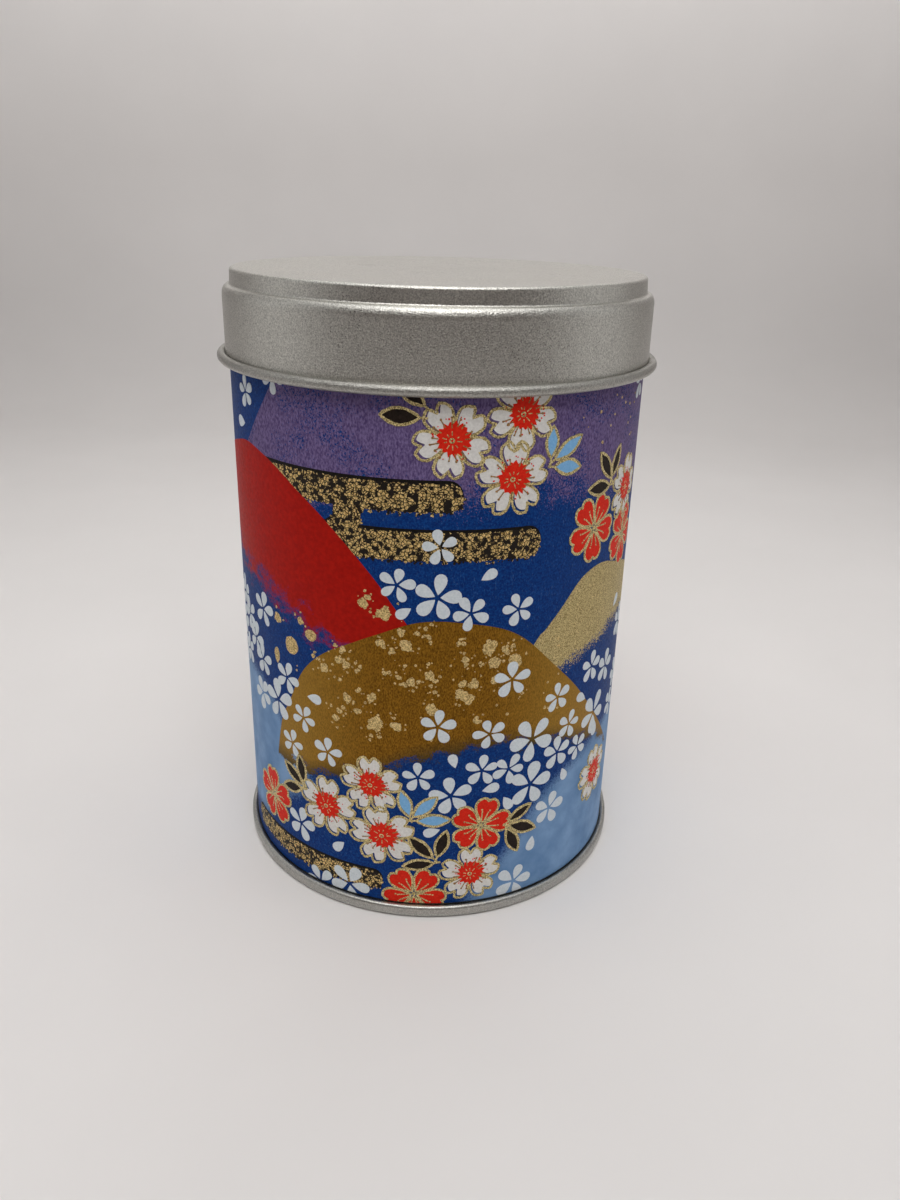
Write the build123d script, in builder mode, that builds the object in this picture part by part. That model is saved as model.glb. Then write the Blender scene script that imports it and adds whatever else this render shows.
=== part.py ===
from build123d import *
import os

# Round tea caddy: a seamed tinplate tin wrapped in printed paper, with a press-in
# inner lid and a slip-over outer lid.  Millimetres, +Z up, origin at the centre of
# the foot, the middle of the printed picture towards -Y and the paper's seam at +Y.

# ---- Driving dimensions ----
overall_height = 116.8
wrap_radius = 39.0          # outside of the paper
paper_thickness = 0.2
glue_film = 0.02

tube_gauge = 0.23           # rolled body sheet
pressed_gauge = 0.25        # lids and bottom end
knob_gauge = 0.4

lid_wall_radius = 39.66     # outside of the outer lid's straight wall
lid_top_radius = 38.25      # outside of the outer lid's raised top
lid_shoulder_height = 113.9
lid_curl_radius = 0.9
lid_curl_height = 101.6     # centre of the outer lid's rolled edge

seam_radius = 40.3          # outside of the double seam round the foot
seam_height = 2.5
rest_gap = 0.05             # between surfaces that rest on each other
plug_clearance = 0.27       # inner lid in the tube, on the radius

# ---- Derived radii and heights ----
tube_outer = wrap_radius - paper_thickness - glue_film
tube_inner = tube_outer - tube_gauge

lid_under_top = overall_height - pressed_gauge
lid_under_shoulder = lid_shoulder_height - pressed_gauge
lid_wall_inner = lid_wall_radius - pressed_gauge

flange_under = lid_under_shoulder - 2 * rest_gap - pressed_gauge
mouth_height = flange_under - rest_gap


def ring_sector_lines(centre, radius, thickness, start, sweep):
    """Outline of part of a ring: a rolled sheet edge, or a strip lying on a tube."""
    outside = CenterArc(centre, radius, start, sweep)
    inside = CenterArc(centre, radius - thickness, start, sweep)
    Line(outside @ 0, inside @ 0)
    Line(outside @ 1, inside @ 1)


os.makedirs("parts", exist_ok=True)

# ---- Outer lid: drawn cap with a raised top and a rolled lower edge ----
lid_edge_bend = 0.25
lid_step_bend = 0.65
lid_roll_sweep = 305        # the roll stops just short of touching the wall
lid_roll_centre = (lid_wall_inner + lid_curl_radius, lid_curl_height)

with BuildPart() as outer_lid:
    with BuildSketch(Plane.XZ):
        with BuildLine():
            FilletPolyline(
                (0, lid_under_top),
                (lid_top_radius - pressed_gauge, lid_under_top),
                (lid_top_radius - pressed_gauge, lid_under_shoulder),
                (lid_wall_inner, lid_under_shoulder),
                (lid_wall_inner, lid_curl_height),
                radius=[lid_edge_bend, lid_step_bend, lid_step_bend],
            )
            offset(amount=pressed_gauge, side=Side.LEFT)
        make_face()
        with BuildLine():
            ring_sector_lines(lid_roll_centre, lid_curl_radius, pressed_gauge, 180, lid_roll_sweep)
        make_face()
    revolve(axis=Axis.Z)

outer_lid.part.label = "outer_lid"
export_step(outer_lid.part, "parts/outer_lid.step")


# ---- Inner lid: dished plug with a flange that rests on the tube's mouth ----
flange_radius = 38.95
flange_bend = 0.3
plug_radius = tube_inner - plug_clearance
plug_bottom = 104.6
trough_width = 3.6
trough_bend = 1.2
panel_lift = 2.0            # panel above the trough
panel_bend = 0.8
boss_radius = 15.5          # raised disc that stiffens the panel under the knob
boss_lift = 0.4
rivet_hole_radius = 1.25

panel_under = plug_bottom + panel_lift
panel_edge = plug_radius - trough_width
boss_under = panel_under + boss_lift
boss_top = boss_under + pressed_gauge

with BuildPart() as inner_lid:
    with BuildSketch(Plane.XZ):
        with BuildLine():
            FilletPolyline(
                (rivet_hole_radius, boss_under),
                (boss_radius, boss_under),
                (boss_radius + boss_lift, panel_under),
                (panel_edge - panel_bend, panel_under),
                (panel_edge, plug_bottom),
                (plug_radius, plug_bottom),
                (plug_radius, flange_under),
                (flange_radius, flange_under),
                radius=[boss_lift, boss_lift, panel_bend, panel_bend, trough_bend, flange_bend],
            )
            offset(amount=pressed_gauge, side=Side.LEFT)
        make_face()
    revolve(axis=Axis.Z)

inner_lid.part.label = "inner_lid"
export_step(inner_lid.part, "parts/inner_lid.step")


# ---- Knob of the inner lid: hollow pressed mushroom, open only at the rivet ----
knob_height = 7.8
knob_head_radius = 7.0
knob_head_depth = 3.2       # from the crown to the head's rim
knob_crown_radius = 2.8     # flat middle of the crown
knob_crown_fall = 0.5
knob_neck_fall = 0.6
knob_waist_radius = 3.4
knob_bends = [1.0, 1.1, 0.9, 1.0, 0.7]

knob_top = boss_top + knob_height
knob_rim = knob_top - knob_head_depth

with BuildPart() as inner_lid_knob:
    with BuildSketch(Plane.XZ):
        with BuildLine():
            FilletPolyline(
                (0, knob_top),
                (knob_crown_radius, knob_top),
                (knob_head_radius, knob_top - knob_crown_fall),
                (knob_head_radius, knob_rim),
                (knob_waist_radius, knob_rim - knob_neck_fall),
                (knob_waist_radius, boss_top),
                (rivet_hole_radius, boss_top),
                radius=knob_bends,
            )
            offset(amount=knob_gauge, side=Side.RIGHT)
        make_face()
    revolve(axis=Axis.Z)

inner_lid_knob.part.label = "inner_lid_knob"
export_step(inner_lid_knob.part, "parts/inner_lid_knob.step")


# ---- Washer: spreads the rivet's grip under the inner lid's thin panel ----
washer_radius = 4.5
washer_thickness = 0.5
washer_edge_radius = 0.12
washer_under = boss_under - washer_thickness

with BuildPart() as knob_washer:
    with BuildSketch(Plane.XY.offset(washer_under)):
        Circle(washer_radius)
        Circle(rivet_hole_radius, mode=Mode.SUBTRACT)
    extrude(amount=washer_thickness)
    fillet(knob_washer.edges().filter_by(GeomType.CIRCLE).sort_by(SortBy.RADIUS)[-2:], washer_edge_radius)

knob_washer.part.label = "knob_washer"
export_step(knob_washer.part, "parts/knob_washer.step")


# ---- Rivet: head inside the hollow knob, tubular tail rolled over under the washer ----
rivet_shank_radius = 1.2
rivet_head_radius = 2.5
rivet_head_height = 0.6
rivet_head_edge = 0.35
rivet_tail_radius = 2.1
rivet_tail_height = 0.55
rivet_tail_edge = 0.25
rivet_bore_radius = 0.7
rivet_bore_depth = 1.0

rivet_head_under = boss_top + knob_gauge
rivet_tail_bottom = washer_under - rivet_tail_height

with BuildPart() as knob_rivet:
    with BuildSketch(Plane.XY.offset(rivet_head_under)):
        Circle(rivet_head_radius)
    extrude(amount=rivet_head_height)
    fillet(knob_rivet.edges().group_by(Axis.Z)[-1], rivet_head_edge)
    with BuildSketch(Plane.XY.offset(rivet_tail_bottom)):
        Circle(rivet_shank_radius)
    extrude(amount=rivet_head_under - rivet_tail_bottom)
    with BuildSketch(Plane.XY.offset(rivet_tail_bottom)):
        Circle(rivet_tail_radius)
    extrude(amount=rivet_tail_height)
    fillet(knob_rivet.edges().group_by(Axis.Z)[0], rivet_tail_edge)
    with BuildSketch(Plane.XY.offset(rivet_tail_bottom)):
        Circle(rivet_bore_radius)
    extrude(amount=rivet_bore_depth, mode=Mode.SUBTRACT)

knob_rivet.part.label = "knob_rivet"
export_step(knob_rivet.part, "parts/knob_rivet.step")


# ---- Body tube: welded sheet, mouth rolled outwards, foot hooked into the seam ----
mouth_roll_radius = 0.35
mouth_roll_sweep = -270
body_hook_inner = 39.45
body_hook_top = 1.55
body_hook_bend = 0.55
seam_floor = pressed_gauge + rest_gap
weld_width = 1.2
weld_thickness = 0.1
weld_bottom = 5.0
weld_top = 111.5

body_hook_outer = body_hook_inner + tube_gauge
mouth_roll_centre = (tube_inner + mouth_roll_radius, mouth_height - mouth_roll_radius)

with BuildPart() as body_tube:
    with BuildSketch(Plane.XZ):
        with BuildLine():
            FilletPolyline(
                (body_hook_outer, body_hook_top),
                (body_hook_outer, seam_floor),
                (tube_inner, seam_floor),
                (tube_inner, mouth_height - mouth_roll_radius),
                radius=body_hook_bend,
            )
            offset(amount=tube_gauge, side=Side.RIGHT)
        make_face()
        with BuildLine():
            ring_sector_lines(mouth_roll_centre, mouth_roll_radius, tube_gauge, 180, mouth_roll_sweep)
        make_face()
    revolve(axis=Axis.Z)
    with BuildSketch(Plane.XY.offset(weld_bottom)):
        with Locations((0, tube_inner)):
            Rectangle(weld_width, 2 * weld_thickness)
    extrude(amount=weld_top - weld_bottom)

body_tube.part.label = "body_tube"
export_step(body_tube.part, "parts/body_tube.step")


# ---- Bottom end: recessed panel whose rim is folded round the tube's hook ----
chuck_wall_inner = 38.27    # wall of the recess, inside the tube
cover_hook_inner = wrap_radius
cover_hook_bottom = 0.8
recess_depth = 3.3
end_step_radius = 30.0
end_step_lift = 0.4
end_bends = [0.4, 0.4, 0.8, 0.6, 0.8, 0.64, 0.64]

with BuildPart() as bottom_end:
    with BuildSketch(Plane.XZ):
        with BuildLine():
            FilletPolyline(
                (0, recess_depth + end_step_lift),
                (end_step_radius, recess_depth + end_step_lift),
                (end_step_radius + end_step_lift, recess_depth),
                (chuck_wall_inner, recess_depth),
                (chuck_wall_inner, 0),
                (seam_radius, 0),
                (seam_radius, seam_height),
                (cover_hook_inner, seam_height),
                (cover_hook_inner, cover_hook_bottom),
                radius=end_bends,
            )
            offset(amount=pressed_gauge, side=Side.LEFT)
        make_face()
    revolve(axis=Axis.Z)

bottom_end.part.label = "bottom_end"
export_step(bottom_end.part, "parts/bottom_end.step")


# ---- Sealing compound: ring squeezed into the top of the double seam ----
seal_inner = 39.3
seal_outer = 40.0
seal_bottom = 1.62
seal_height = 0.33

with BuildPart() as bottom_seal:
    with BuildSketch(Plane.XY.offset(seal_bottom)):
        Circle(seal_outer)
        Circle(seal_inner, mode=Mode.SUBTRACT)
    extrude(amount=seal_height)

bottom_seal.part.label = "bottom_seal"
export_step(bottom_seal.part, "parts/bottom_seal.step")


# ---- Paper wrap: glued round the tube, its far end lapped over its near end ----
wrap_bottom = seam_height + rest_gap
wrap_top = 103.7
overlap_angle = 8.8         # degrees; a lap 6 mm wide

with BuildPart() as washi_wrap:
    with BuildSketch(Plane.XY.offset(wrap_bottom)):
        Circle(wrap_radius)
        Circle(wrap_radius - paper_thickness, mode=Mode.SUBTRACT)
        with BuildLine():
            lap_radius = wrap_radius + paper_thickness
            ring_sector_lines((0, 0), lap_radius, paper_thickness, 90 - overlap_angle / 2, overlap_angle)
        make_face()
    extrude(amount=wrap_top - wrap_bottom)

washi_wrap.part.label = "washi_wrap"
export_step(washi_wrap.part, "parts/washi_wrap.step")
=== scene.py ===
import random
from math import ceil, cos, dist, hypot, pi, radians, sin, sqrt, tan, tau

import bpy
import numpy as np
from mathutils import Matrix, Vector
from mathutils.geometry import delaunay_2d_cdt


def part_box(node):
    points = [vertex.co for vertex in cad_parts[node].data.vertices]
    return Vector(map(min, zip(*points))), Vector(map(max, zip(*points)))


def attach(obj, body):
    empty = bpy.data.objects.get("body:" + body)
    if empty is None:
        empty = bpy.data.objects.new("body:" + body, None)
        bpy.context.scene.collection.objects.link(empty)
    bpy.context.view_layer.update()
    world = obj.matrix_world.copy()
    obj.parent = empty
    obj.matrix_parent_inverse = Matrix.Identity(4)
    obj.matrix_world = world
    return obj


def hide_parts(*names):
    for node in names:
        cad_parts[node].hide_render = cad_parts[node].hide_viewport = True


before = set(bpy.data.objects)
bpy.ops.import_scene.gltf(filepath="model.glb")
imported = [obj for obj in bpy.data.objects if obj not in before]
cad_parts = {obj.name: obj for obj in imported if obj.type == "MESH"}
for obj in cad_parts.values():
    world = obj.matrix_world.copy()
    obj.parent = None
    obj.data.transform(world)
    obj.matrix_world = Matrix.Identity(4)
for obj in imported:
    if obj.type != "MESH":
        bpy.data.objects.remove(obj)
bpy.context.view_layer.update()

# The paper, in millimetres.
MM = 0.001
paper_low, paper_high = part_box("washi_wrap")
PAPER_RADIUS = paper_high.x / MM
PAPER_THICKNESS = (paper_high.y - paper_high.x) / MM
PAPER_BOTTOM = paper_low.z / MM
PAPER_TOP = paper_high.z / MM
HALF_GIRTH = pi * PAPER_RADIUS
LAP = 6.0  # width of paper glued over its own near end
LAP_START = HALF_GIRTH - LAP / 2
LAP_END = HALF_GIRTH + LAP / 2
LAP_RAMP = 5.0  # over this the far end climbs onto the near end
GLUE_GAP = 0.01
EDGE_MARGIN = 0.06  # bare strip left along the paper's cut edges


# ---- Nodes ----

def srgb(*colour):
    """Linear colour of a screen colour given as 0-255 values."""
    values = [value / 255 for value in colour]
    return (*(v / 12.92 if v <= 0.04045 else ((v + 0.055) / 1.055) ** 2.4 for v in values), 1.0)


class Nodes:
    """Short ways to add nodes to a tree.  A value is a number, a colour or another node's socket."""

    def __init__(self, tree):
        self.tree = tree

    def feed(self, socket, value):
        if isinstance(value, bpy.types.NodeSocket):
            self.tree.links.new(value, socket)
        else:
            socket.default_value = value

    def add(self, kind, inputs=None, **settings):
        node = self.tree.nodes.new("ShaderNode" + kind)
        for key, value in settings.items():
            setattr(node, key, value)
        for key, value in (inputs or {}).items():
            self.feed(node.inputs[key], value)
        return node.outputs

    def place(self, size, stretch=(1, 1, 1)):
        """Place on the object, in steps of size mm, stretched along the axes."""
        scale = tuple(1 / (size * MM * factor) for factor in stretch)
        return self.add("Mapping", {"Vector": self.add("TexCoord")["Object"], "Scale": scale})["Vector"]

    def noise(self, size, detail=3.0, stretch=(1, 1, 1), roughness=0.55):
        """Noise value whose features are about size mm across, stretched along the axes."""
        values = {"Vector": self.place(size, stretch), "Scale": 1.0}
        return self.add("TexNoise", values | {"Detail": detail, "Roughness": roughness})["Fac"]

    def crumbs(self, size):
        """Distance from the borders between crumbs about size mm across, in crumb sizes."""
        values = {"Vector": self.place(size), "Scale": 1.0}
        return self.add("TexVoronoi", values, feature="DISTANCE_TO_EDGE")["Distance"]

    def off_axis(self, near, far):
        """0 within near mm of the tin's middle plane, rising to 1 at far mm to either side."""
        across = self.add("SeparateXYZ", {"Vector": self.place(1.0)})["X"]
        return self.remap(self.math("ABSOLUTE", across), near, far, smooth=True)

    def attribute(self, name):
        return self.add("Attribute", attribute_name=name)["Fac"]

    def math(self, operation, first, second=0.0):
        return self.add("Math", {0: first, 1: second}, operation=operation)[0]

    def plus(self, first, second):
        return self.math("ADD", first, second)

    def minus(self, first, second):
        return self.math("SUBTRACT", first, second)

    def times(self, first, second):
        return self.math("MULTIPLY", first, second)

    def remap(self, value, low, high, out_low=0.0, out_high=1.0, smooth=False):
        values = {"Value": value, "From Min": low, "From Max": high, "To Min": out_low, "To Max": out_high}
        curve = "SMOOTHSTEP" if smooth else "LINEAR"
        return self.add("MapRange", values, interpolation_type=curve)["Result"]

    def mix(self, factor, first, second):
        """Colour between two colours.  The node's colour sockets come after those of its other kinds."""
        return self.add("Mix", {0: factor, 6: first, 7: second}, data_type="RGBA")[2]

    def between(self, value, dark, light, low=0.35, high=0.65):
        """Colour that runs from dark to light as the value runs from low to high."""
        return self.mix(self.remap(value, low, high), dark, light)


class Look(Nodes):
    """A new material with only a Principled shader, and ways to set that shader's inputs."""

    def __init__(self, name):
        self.material = bpy.data.materials.new(name)
        self.material.use_nodes = True
        super().__init__(self.material.node_tree)
        self.inputs = self.tree.nodes["Principled BSDF"].inputs

    def set(self, name, value):
        self.feed(self.inputs[name], value)

    def bump(self, height, distance, strength):
        values = {"Height": height, "Distance": distance * MM, "Strength": strength}
        self.set("Normal", self.add("Bump", values)["Normal"])

    def paper_finish(self, colour, roughness=0.5):
        """Colour, uneven gloss and fibre relief of ink on washi."""
        self.set("Base Color", colour)
        self.set("Specular IOR Level", 0.08)
        gloss = self.remap(self.noise(0.6), 0.3, 0.7, roughness - 0.07, roughness + 0.07)
        self.set("Roughness", gloss)
        self.bump(self.noise(0.3, stretch=(1, 1, 2)), 0.02, 0.35)
        return self.material


# ---- Materials ----

DEEP_BLUE = (srgb(4, 40, 102), srgb(12, 64, 134))
STEEL_BLUE = (srgb(96, 134, 178), srgb(132, 166, 206))
FIBRE = srgb(96, 130, 176)


def ground_colour(nodes):
    """The blue ground: deep blue, brushed over into steel blue where 'steel' says so."""
    grain = nodes.noise(0.35)
    deep = nodes.between(grain, *DEEP_BLUE)
    steel = nodes.between(nodes.noise(6.0), *STEEL_BLUE, 0.3, 0.7)
    speckle = nodes.times(nodes.minus(grain, 0.5), 0.9)
    cover = nodes.plus(nodes.attribute("steel"), speckle)
    colour = nodes.mix(nodes.remap(cover, 0.1, 0.9, smooth=True), deep, steel)
    fibre = nodes.noise(0.22, 1.0, stretch=(1, 1, 3))
    return nodes.mix(nodes.remap(fibre, 0.62, 0.8, 0.0, 0.35), colour, FIBRE)


def ground_material():
    look = Look("blue_washi")
    return look.paper_finish(ground_colour(look))


def fading_ink(name, dark, light, grain_size, stretch=(1, 1, 1), softness=0.1, smear=0.0, metal=0.0,
               thin=None, sides=None, worn=0.0):
    """Ink mottled between two colours.  As 'ink' falls from 1 to 0 it breaks up into the blue
    ground: into fine grains, and with smear into patches a few millimetres across too.  It can
    have another colour where it is thin.  Towards the tin's left and right sides it can be mixed
    with a lighter colour, a painted sheen.  Worn ink has specks of the ground showing through in
    places."""
    look = Look(name)
    ink = look.between(look.noise(grain_size, stretch=stretch), dark, light)
    # Painted sheen: away from the tin's middle plane, to either side, the ink turns towards a lighter
    # colour.
    if sides:
        ink = look.mix(look.times(look.off_axis(8, 28), 0.4), ink, sides)
    if thin:
        ink = look.between(look.attribute("ink"), thin, ink, 0.35, 0.95)
    grains = look.times(look.noise(0.3), 1 - smear)
    patches = look.times(look.noise(4.0, stretch=(1, 1, 0.6)), smear)
    level = look.remap(look.plus(grains, patches), 0.32, 0.68)
    lead = look.times(look.attribute("ink"), 1 + 2 * softness)
    if worn:
        lead = look.minus(lead, look.remap(look.noise(9.0, 2.0), 0.42, 0.62, 0.0, worn))
    factor = look.remap(look.minus(lead, level), 0.0, 2 * softness, smooth=True)
    if metal:
        look.set("Metallic", look.times(factor, metal))
    return look.paper_finish(look.mix(factor, ground_colour(look), ink))


def flat_ink(name, dark, light):
    """Opaque screen-printed ink, mottled between two near colours."""
    look = Look(name)
    return look.paper_finish(look.between(look.noise(0.4), dark, light, 0.3, 0.7))


def gold_ink(name, dark, light, grain_size, metallic):
    """Bronze-powder ink: coarse grains that each catch the light differently."""
    look = Look(name)
    grain = look.noise(grain_size, 2.0, roughness=0.7)
    look.set("Base Color", look.between(grain, dark, light, 0.38, 0.62))
    look.set("Metallic", metallic)
    look.set("Roughness", look.remap(grain, 0.3, 0.7, 0.55, 0.35))
    look.bump(look.noise(grain_size * 0.7, 2.0), 0.03, 0.8)
    return look.material


def mist_gold():
    """Gold dust thrown on black: crumbs parted by fine cracks, with gaps between the clusters."""
    look = Look("mist_gold")
    cluster = look.remap(look.noise(1.1, 2.0), 0.44, 0.48, smooth=True)
    parted = look.remap(look.crumbs(0.62), 0.05, 0.13, smooth=True)
    gold = look.times(cluster, parted)
    tone = look.noise(0.3, 2.0)
    dust = look.between(tone, srgb(156, 126, 70), srgb(250, 220, 150))
    look.set("Base Color", look.mix(gold, srgb(22, 14, 9), dust))
    look.set("Metallic", look.times(gold, 0.35))
    look.set("Roughness", look.remap(tone, 0.3, 0.7, 0.6, 0.45))
    look.set("Specular IOR Level", 0.2)
    look.bump(gold, 0.03, 0.4)
    return look.material


def tinplate(name, base, roughness, sparkle, streak=0.0):
    """Satin tinplate: fine crystalline sparkle, faint drawing streaks, uneven gloss."""
    look = Look(name)
    grain = look.noise(0.24, 2.0, roughness=0.7)
    drawn = look.noise(0.5, stretch=(1, 1, 40))
    dark = tuple(c * 0.62 for c in base[:3]) + (1.0,)
    light = tuple(min(1.0, c * 1.2) for c in base[:3]) + (1.0,)
    tone = look.plus(look.times(drawn, streak), look.times(grain, 1 - streak))
    look.set("Base Color", look.between(tone, dark, light))
    look.set("Metallic", 1.0)
    gloss = look.plus(look.times(look.noise(14.0), 0.5), look.times(grain, 0.5))
    look.set("Roughness", look.remap(gloss, 0.35, 0.65, roughness - 0.05, roughness + 0.05))
    look.bump(look.noise(0.28, 2.0, roughness=0.7), 0.14, sparkle)
    return look.material


def sealing_compound():
    look = Look("sealing_compound")
    mottle = look.noise(0.5)
    look.set("Base Color", look.between(mottle, srgb(70, 78, 74), srgb(96, 104, 98), 0.3, 0.7))
    look.set("Roughness", look.remap(mottle, 0.3, 0.7, 0.6, 0.8))
    look.bump(look.noise(0.25, 2.0), 0.03, 0.5)
    return look.material


def bare_paper():
    """Unprinted washi: the sheet's back and cut edges."""
    look = Look("bare_washi")
    fibre = look.noise(0.4, 4.0, stretch=(1, 1, 4))
    colour = look.between(fibre, srgb(222, 214, 196), srgb(240, 235, 222))
    return look.paper_finish(colour, 0.75)


def floor_material():
    look = Look("pale_paper_floor")
    colour = look.between(look.noise(90.0), srgb(226, 223, 221), srgb(230, 227, 225), 0.3, 0.7)
    look.set("Base Color", colour)
    look.set("Roughness", 0.65)
    return look.material


# ---- Meshes ----

def new_object(name, verts, faces, materials, choice=(), sharp=40):
    """Smooth-shaded object, with edges of more than sharp degrees left sharp.
    The choice is the number of each face's material, if there is more than one."""
    mesh = bpy.data.meshes.new(name)
    mesh.from_pydata(verts, [], faces)
    for material in materials:
        mesh.materials.append(material)
    if choice:
        mesh.polygons.foreach_set("material_index", choice)
    mesh.polygons.foreach_set("use_smooth", [True] * len(mesh.polygons))
    mesh.set_sharp_from_angle(angle=radians(sharp))
    item = bpy.data.objects.new(name, mesh)
    bpy.context.scene.collection.objects.link(item)
    return item


# ---- Flat drawing ----

rng = random.Random(7)


def smooth(points, steps):
    """Catmull-Rom curve through the points, with that many steps between two of them."""
    ends = [points[0], *points, points[-1]]
    result = []
    for four in zip(ends, ends[1:], ends[2:], ends[3:]):
        for t in (step / steps for step in range(steps)):
            result.append(tuple(
                0.5 * (2 * b + (c - a) * t + (2 * a - 5 * b + 4 * c - d) * t ** 2
                       + (3 * b - a - 3 * c + d) * t ** 3)
                for a, b, c, d in zip(*four)
            ))
    return result + [points[-1]]


def place(outline, centre, turn=0.0, size=1.0, shift=(0.0, 0.0)):
    """Outline turned by turn degrees, scaled, and moved to centre."""
    c, s = cos(radians(turn)), sin(radians(turn))
    return [
        (centre[0] + shift[0] + size * (x * c - y * s), centre[1] + shift[1] + size * (x * s + y * c))
        for x, y in outline
    ]


def inset(outline, amount):
    """Closed outline moved inwards by amount (outwards if negative) along its normals."""
    n = len(outline)
    result = []
    for i, (x, y) in enumerate(outline):
        before, after = outline[i - 1], outline[(i + 1) % n]
        dx, dy = after[0] - before[0], after[1] - before[1]
        length = hypot(dx, dy) or 1.0
        result.append((x - dy / length * amount, y + dx / length * amount))
    return result


def mirrored(half):
    """Closed outline from its lower half, which runs from the base to the far end.
    It starts at its broad side, because a sharp base turns over when it is moved inwards."""
    outline = half + [(x, -y) for x, y in reversed(half)][1:-1]
    side = len(outline) // 4
    return outline[side:] + outline[:side]


def drop_petal(width, base):
    """Petal of the small flowers: pointed at the centre, round outside; length 1."""
    turns = [tau * i / 18 for i in range(18)]
    return [
        (base + (1 - base) * (1 - cos(t)) / 2, -1.3 * width * sin(t) * sin(t / 2))
        for t in turns
    ]


NOTCHED_HALF = [(0.1, 0.0), (0.18, -0.08), (0.34, -0.22), (0.54, -0.34), (0.74, -0.39), (0.89, -0.34),
                (0.98, -0.23), (1.0, -0.15), (0.91, -0.06), (0.8, 0.0)]
ROUND_HALF = [(0.1, 0.0), (0.19, -0.09), (0.36, -0.24), (0.56, -0.35), (0.76, -0.38), (0.91, -0.31),
              (0.99, -0.18), (0.97, -0.07), (0.9, 0.0)]


def blossom_petal(half):
    return mirrored(smooth(half, 3))


def leaf(length, width):
    steps = [i / 12 for i in range(13)]
    half = [(length * t, -width / 2 * sin(pi * t) ** 0.85) for t in steps]
    return mirrored(half)


def whole(outlines):
    """The outlines as shapes, which are pairs of an outline and its hole, here without holes."""
    return [(outline, None) for outline in outlines]


def polar(centre, reach, turn):
    """The point reach away from the centre, turn radians round from the right."""
    return (centre[0] + reach * cos(turn), centre[1] + reach * sin(turn))


def oval(across, up):
    turns = [tau * i / 16 for i in range(16)]
    return [(across * cos(t), up * sin(t)) for t in turns]


def subdivided(outline, step):
    """Closed outline with no step along it longer than step mm."""
    result = []
    for a, b in zip(outline, outline[1:] + outline[:1]):
        parts = max(1, ceil(dist(a, b) / step))
        result += [(a[0] + (b[0] - a[0]) * i / parts, a[1] + (b[1] - a[1]) * i / parts)
                   for i in range(parts)]
    return result


def ragged(outline, amount):
    """The outline with every point nudged at random by up to amount."""
    return [(x + rng.uniform(-amount, amount), y + rng.uniform(-amount, amount)) for x, y in outline]


def blob(radius, points, rough):
    """Uneven round patch about the origin."""
    start = rng.random() * tau
    return [
        polar((0, 0), radius * rng.uniform(1 - rough, 1 + rough), start + tau * i / points)
        for i in range(points)
    ]


def stroke(start, end, width):
    """Short straight brush stroke with blunt ends."""
    dx, dy = end[0] - start[0], end[1] - start[1]
    length = hypot(dx, dy)
    nx, ny = -dy / length * width / 2, dx / length * width / 2
    return [(start[0] - nx, start[1] - ny), (end[0] - nx, end[1] - ny),
            (end[0] + nx, end[1] + ny), (start[0] + nx, start[1] + ny)]


# ---- Printed layers ----

GRID = 1.0  # spacing of the points inside a printed shape
MERGE_DISTANCE = 1e-5  # points of the outlines nearer than this become one
SUNK = 0.03  # printed slabs start this far under the paper's face


def lap_rise(s):
    """How far the paper stands out where its far end climbs over its near end."""
    t = np.clip((s - (LAP_START - LAP_RAMP)) / LAP_RAMP, 0, 1)
    return PAPER_THICKNESS * t * t * (3 - 2 * t)


def wrapped(flat, height):
    """Places in metres of flat (s, z) points, height mm above the paper's face."""
    s, z = flat[:, 0], flat[:, 1]
    radius = PAPER_RADIUS + lap_rise(s) + height
    angle = s / PAPER_RADIUS
    return np.column_stack((radius * np.sin(angle), -radius * np.cos(angle), z)) * MM


def triangles(shapes, cutters):
    """Flat triangles of the union of (outline, hole) shapes, less the cutters and the margins."""
    low = (-LAP_START + EDGE_MARGIN, PAPER_BOTTOM + EDGE_MARGIN)
    high = (LAP_END - EDGE_MARGIN, PAPER_TOP - EDGE_MARGIN)
    sheet = subdivided([low, (high[0], low[1]), high, (low[0], high[1])], GRID)
    points, loops, grid = [], [], set()

    def add(outline):
        loops.append(list(range(len(points), len(points) + len(outline))))
        points.extend(Vector(p) for p in outline)
        return len(loops) - 1

    sheet_id = add(sheet)
    cut_ids = {add(cutter) for cutter in cutters}
    shape_ids = []
    for outline, hole in shapes:
        shape_ids.append((add(outline), -1 if hole is None else add(hole)))
        xs, zs = zip(*outline)
        columns, rows = (range(int(min(v) // GRID), ceil(max(v) / GRID) + 1) for v in (xs, zs))
        grid.update((i, j) for i in columns for j in rows)
    points.extend(Vector((i * GRID, j * GRID)) for i, j in sorted(grid))
    verts, _, faces, _, _, origins = delaunay_2d_cdt(points, [], loops, 1, MERGE_DISTANCE)
    holes = dict(shape_ids)
    kept = []
    for face, source in zip(faces, origins):
        ids = set(source)
        if sheet_id not in ids or ids & cut_ids:
            continue
        if any(i in holes and holes[i] not in ids for i in ids):
            kept.append(tuple(face))
    used = sorted({i for face in kept for i in face})
    order = {old: new for new, old in enumerate(used)}
    flat = np.array([verts[i][:] for i in used], float)
    return flat, [tuple(order[i] for i in face) for face in kept]


def ride_on_tin(piece):
    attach(piece, "tin_body")


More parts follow.
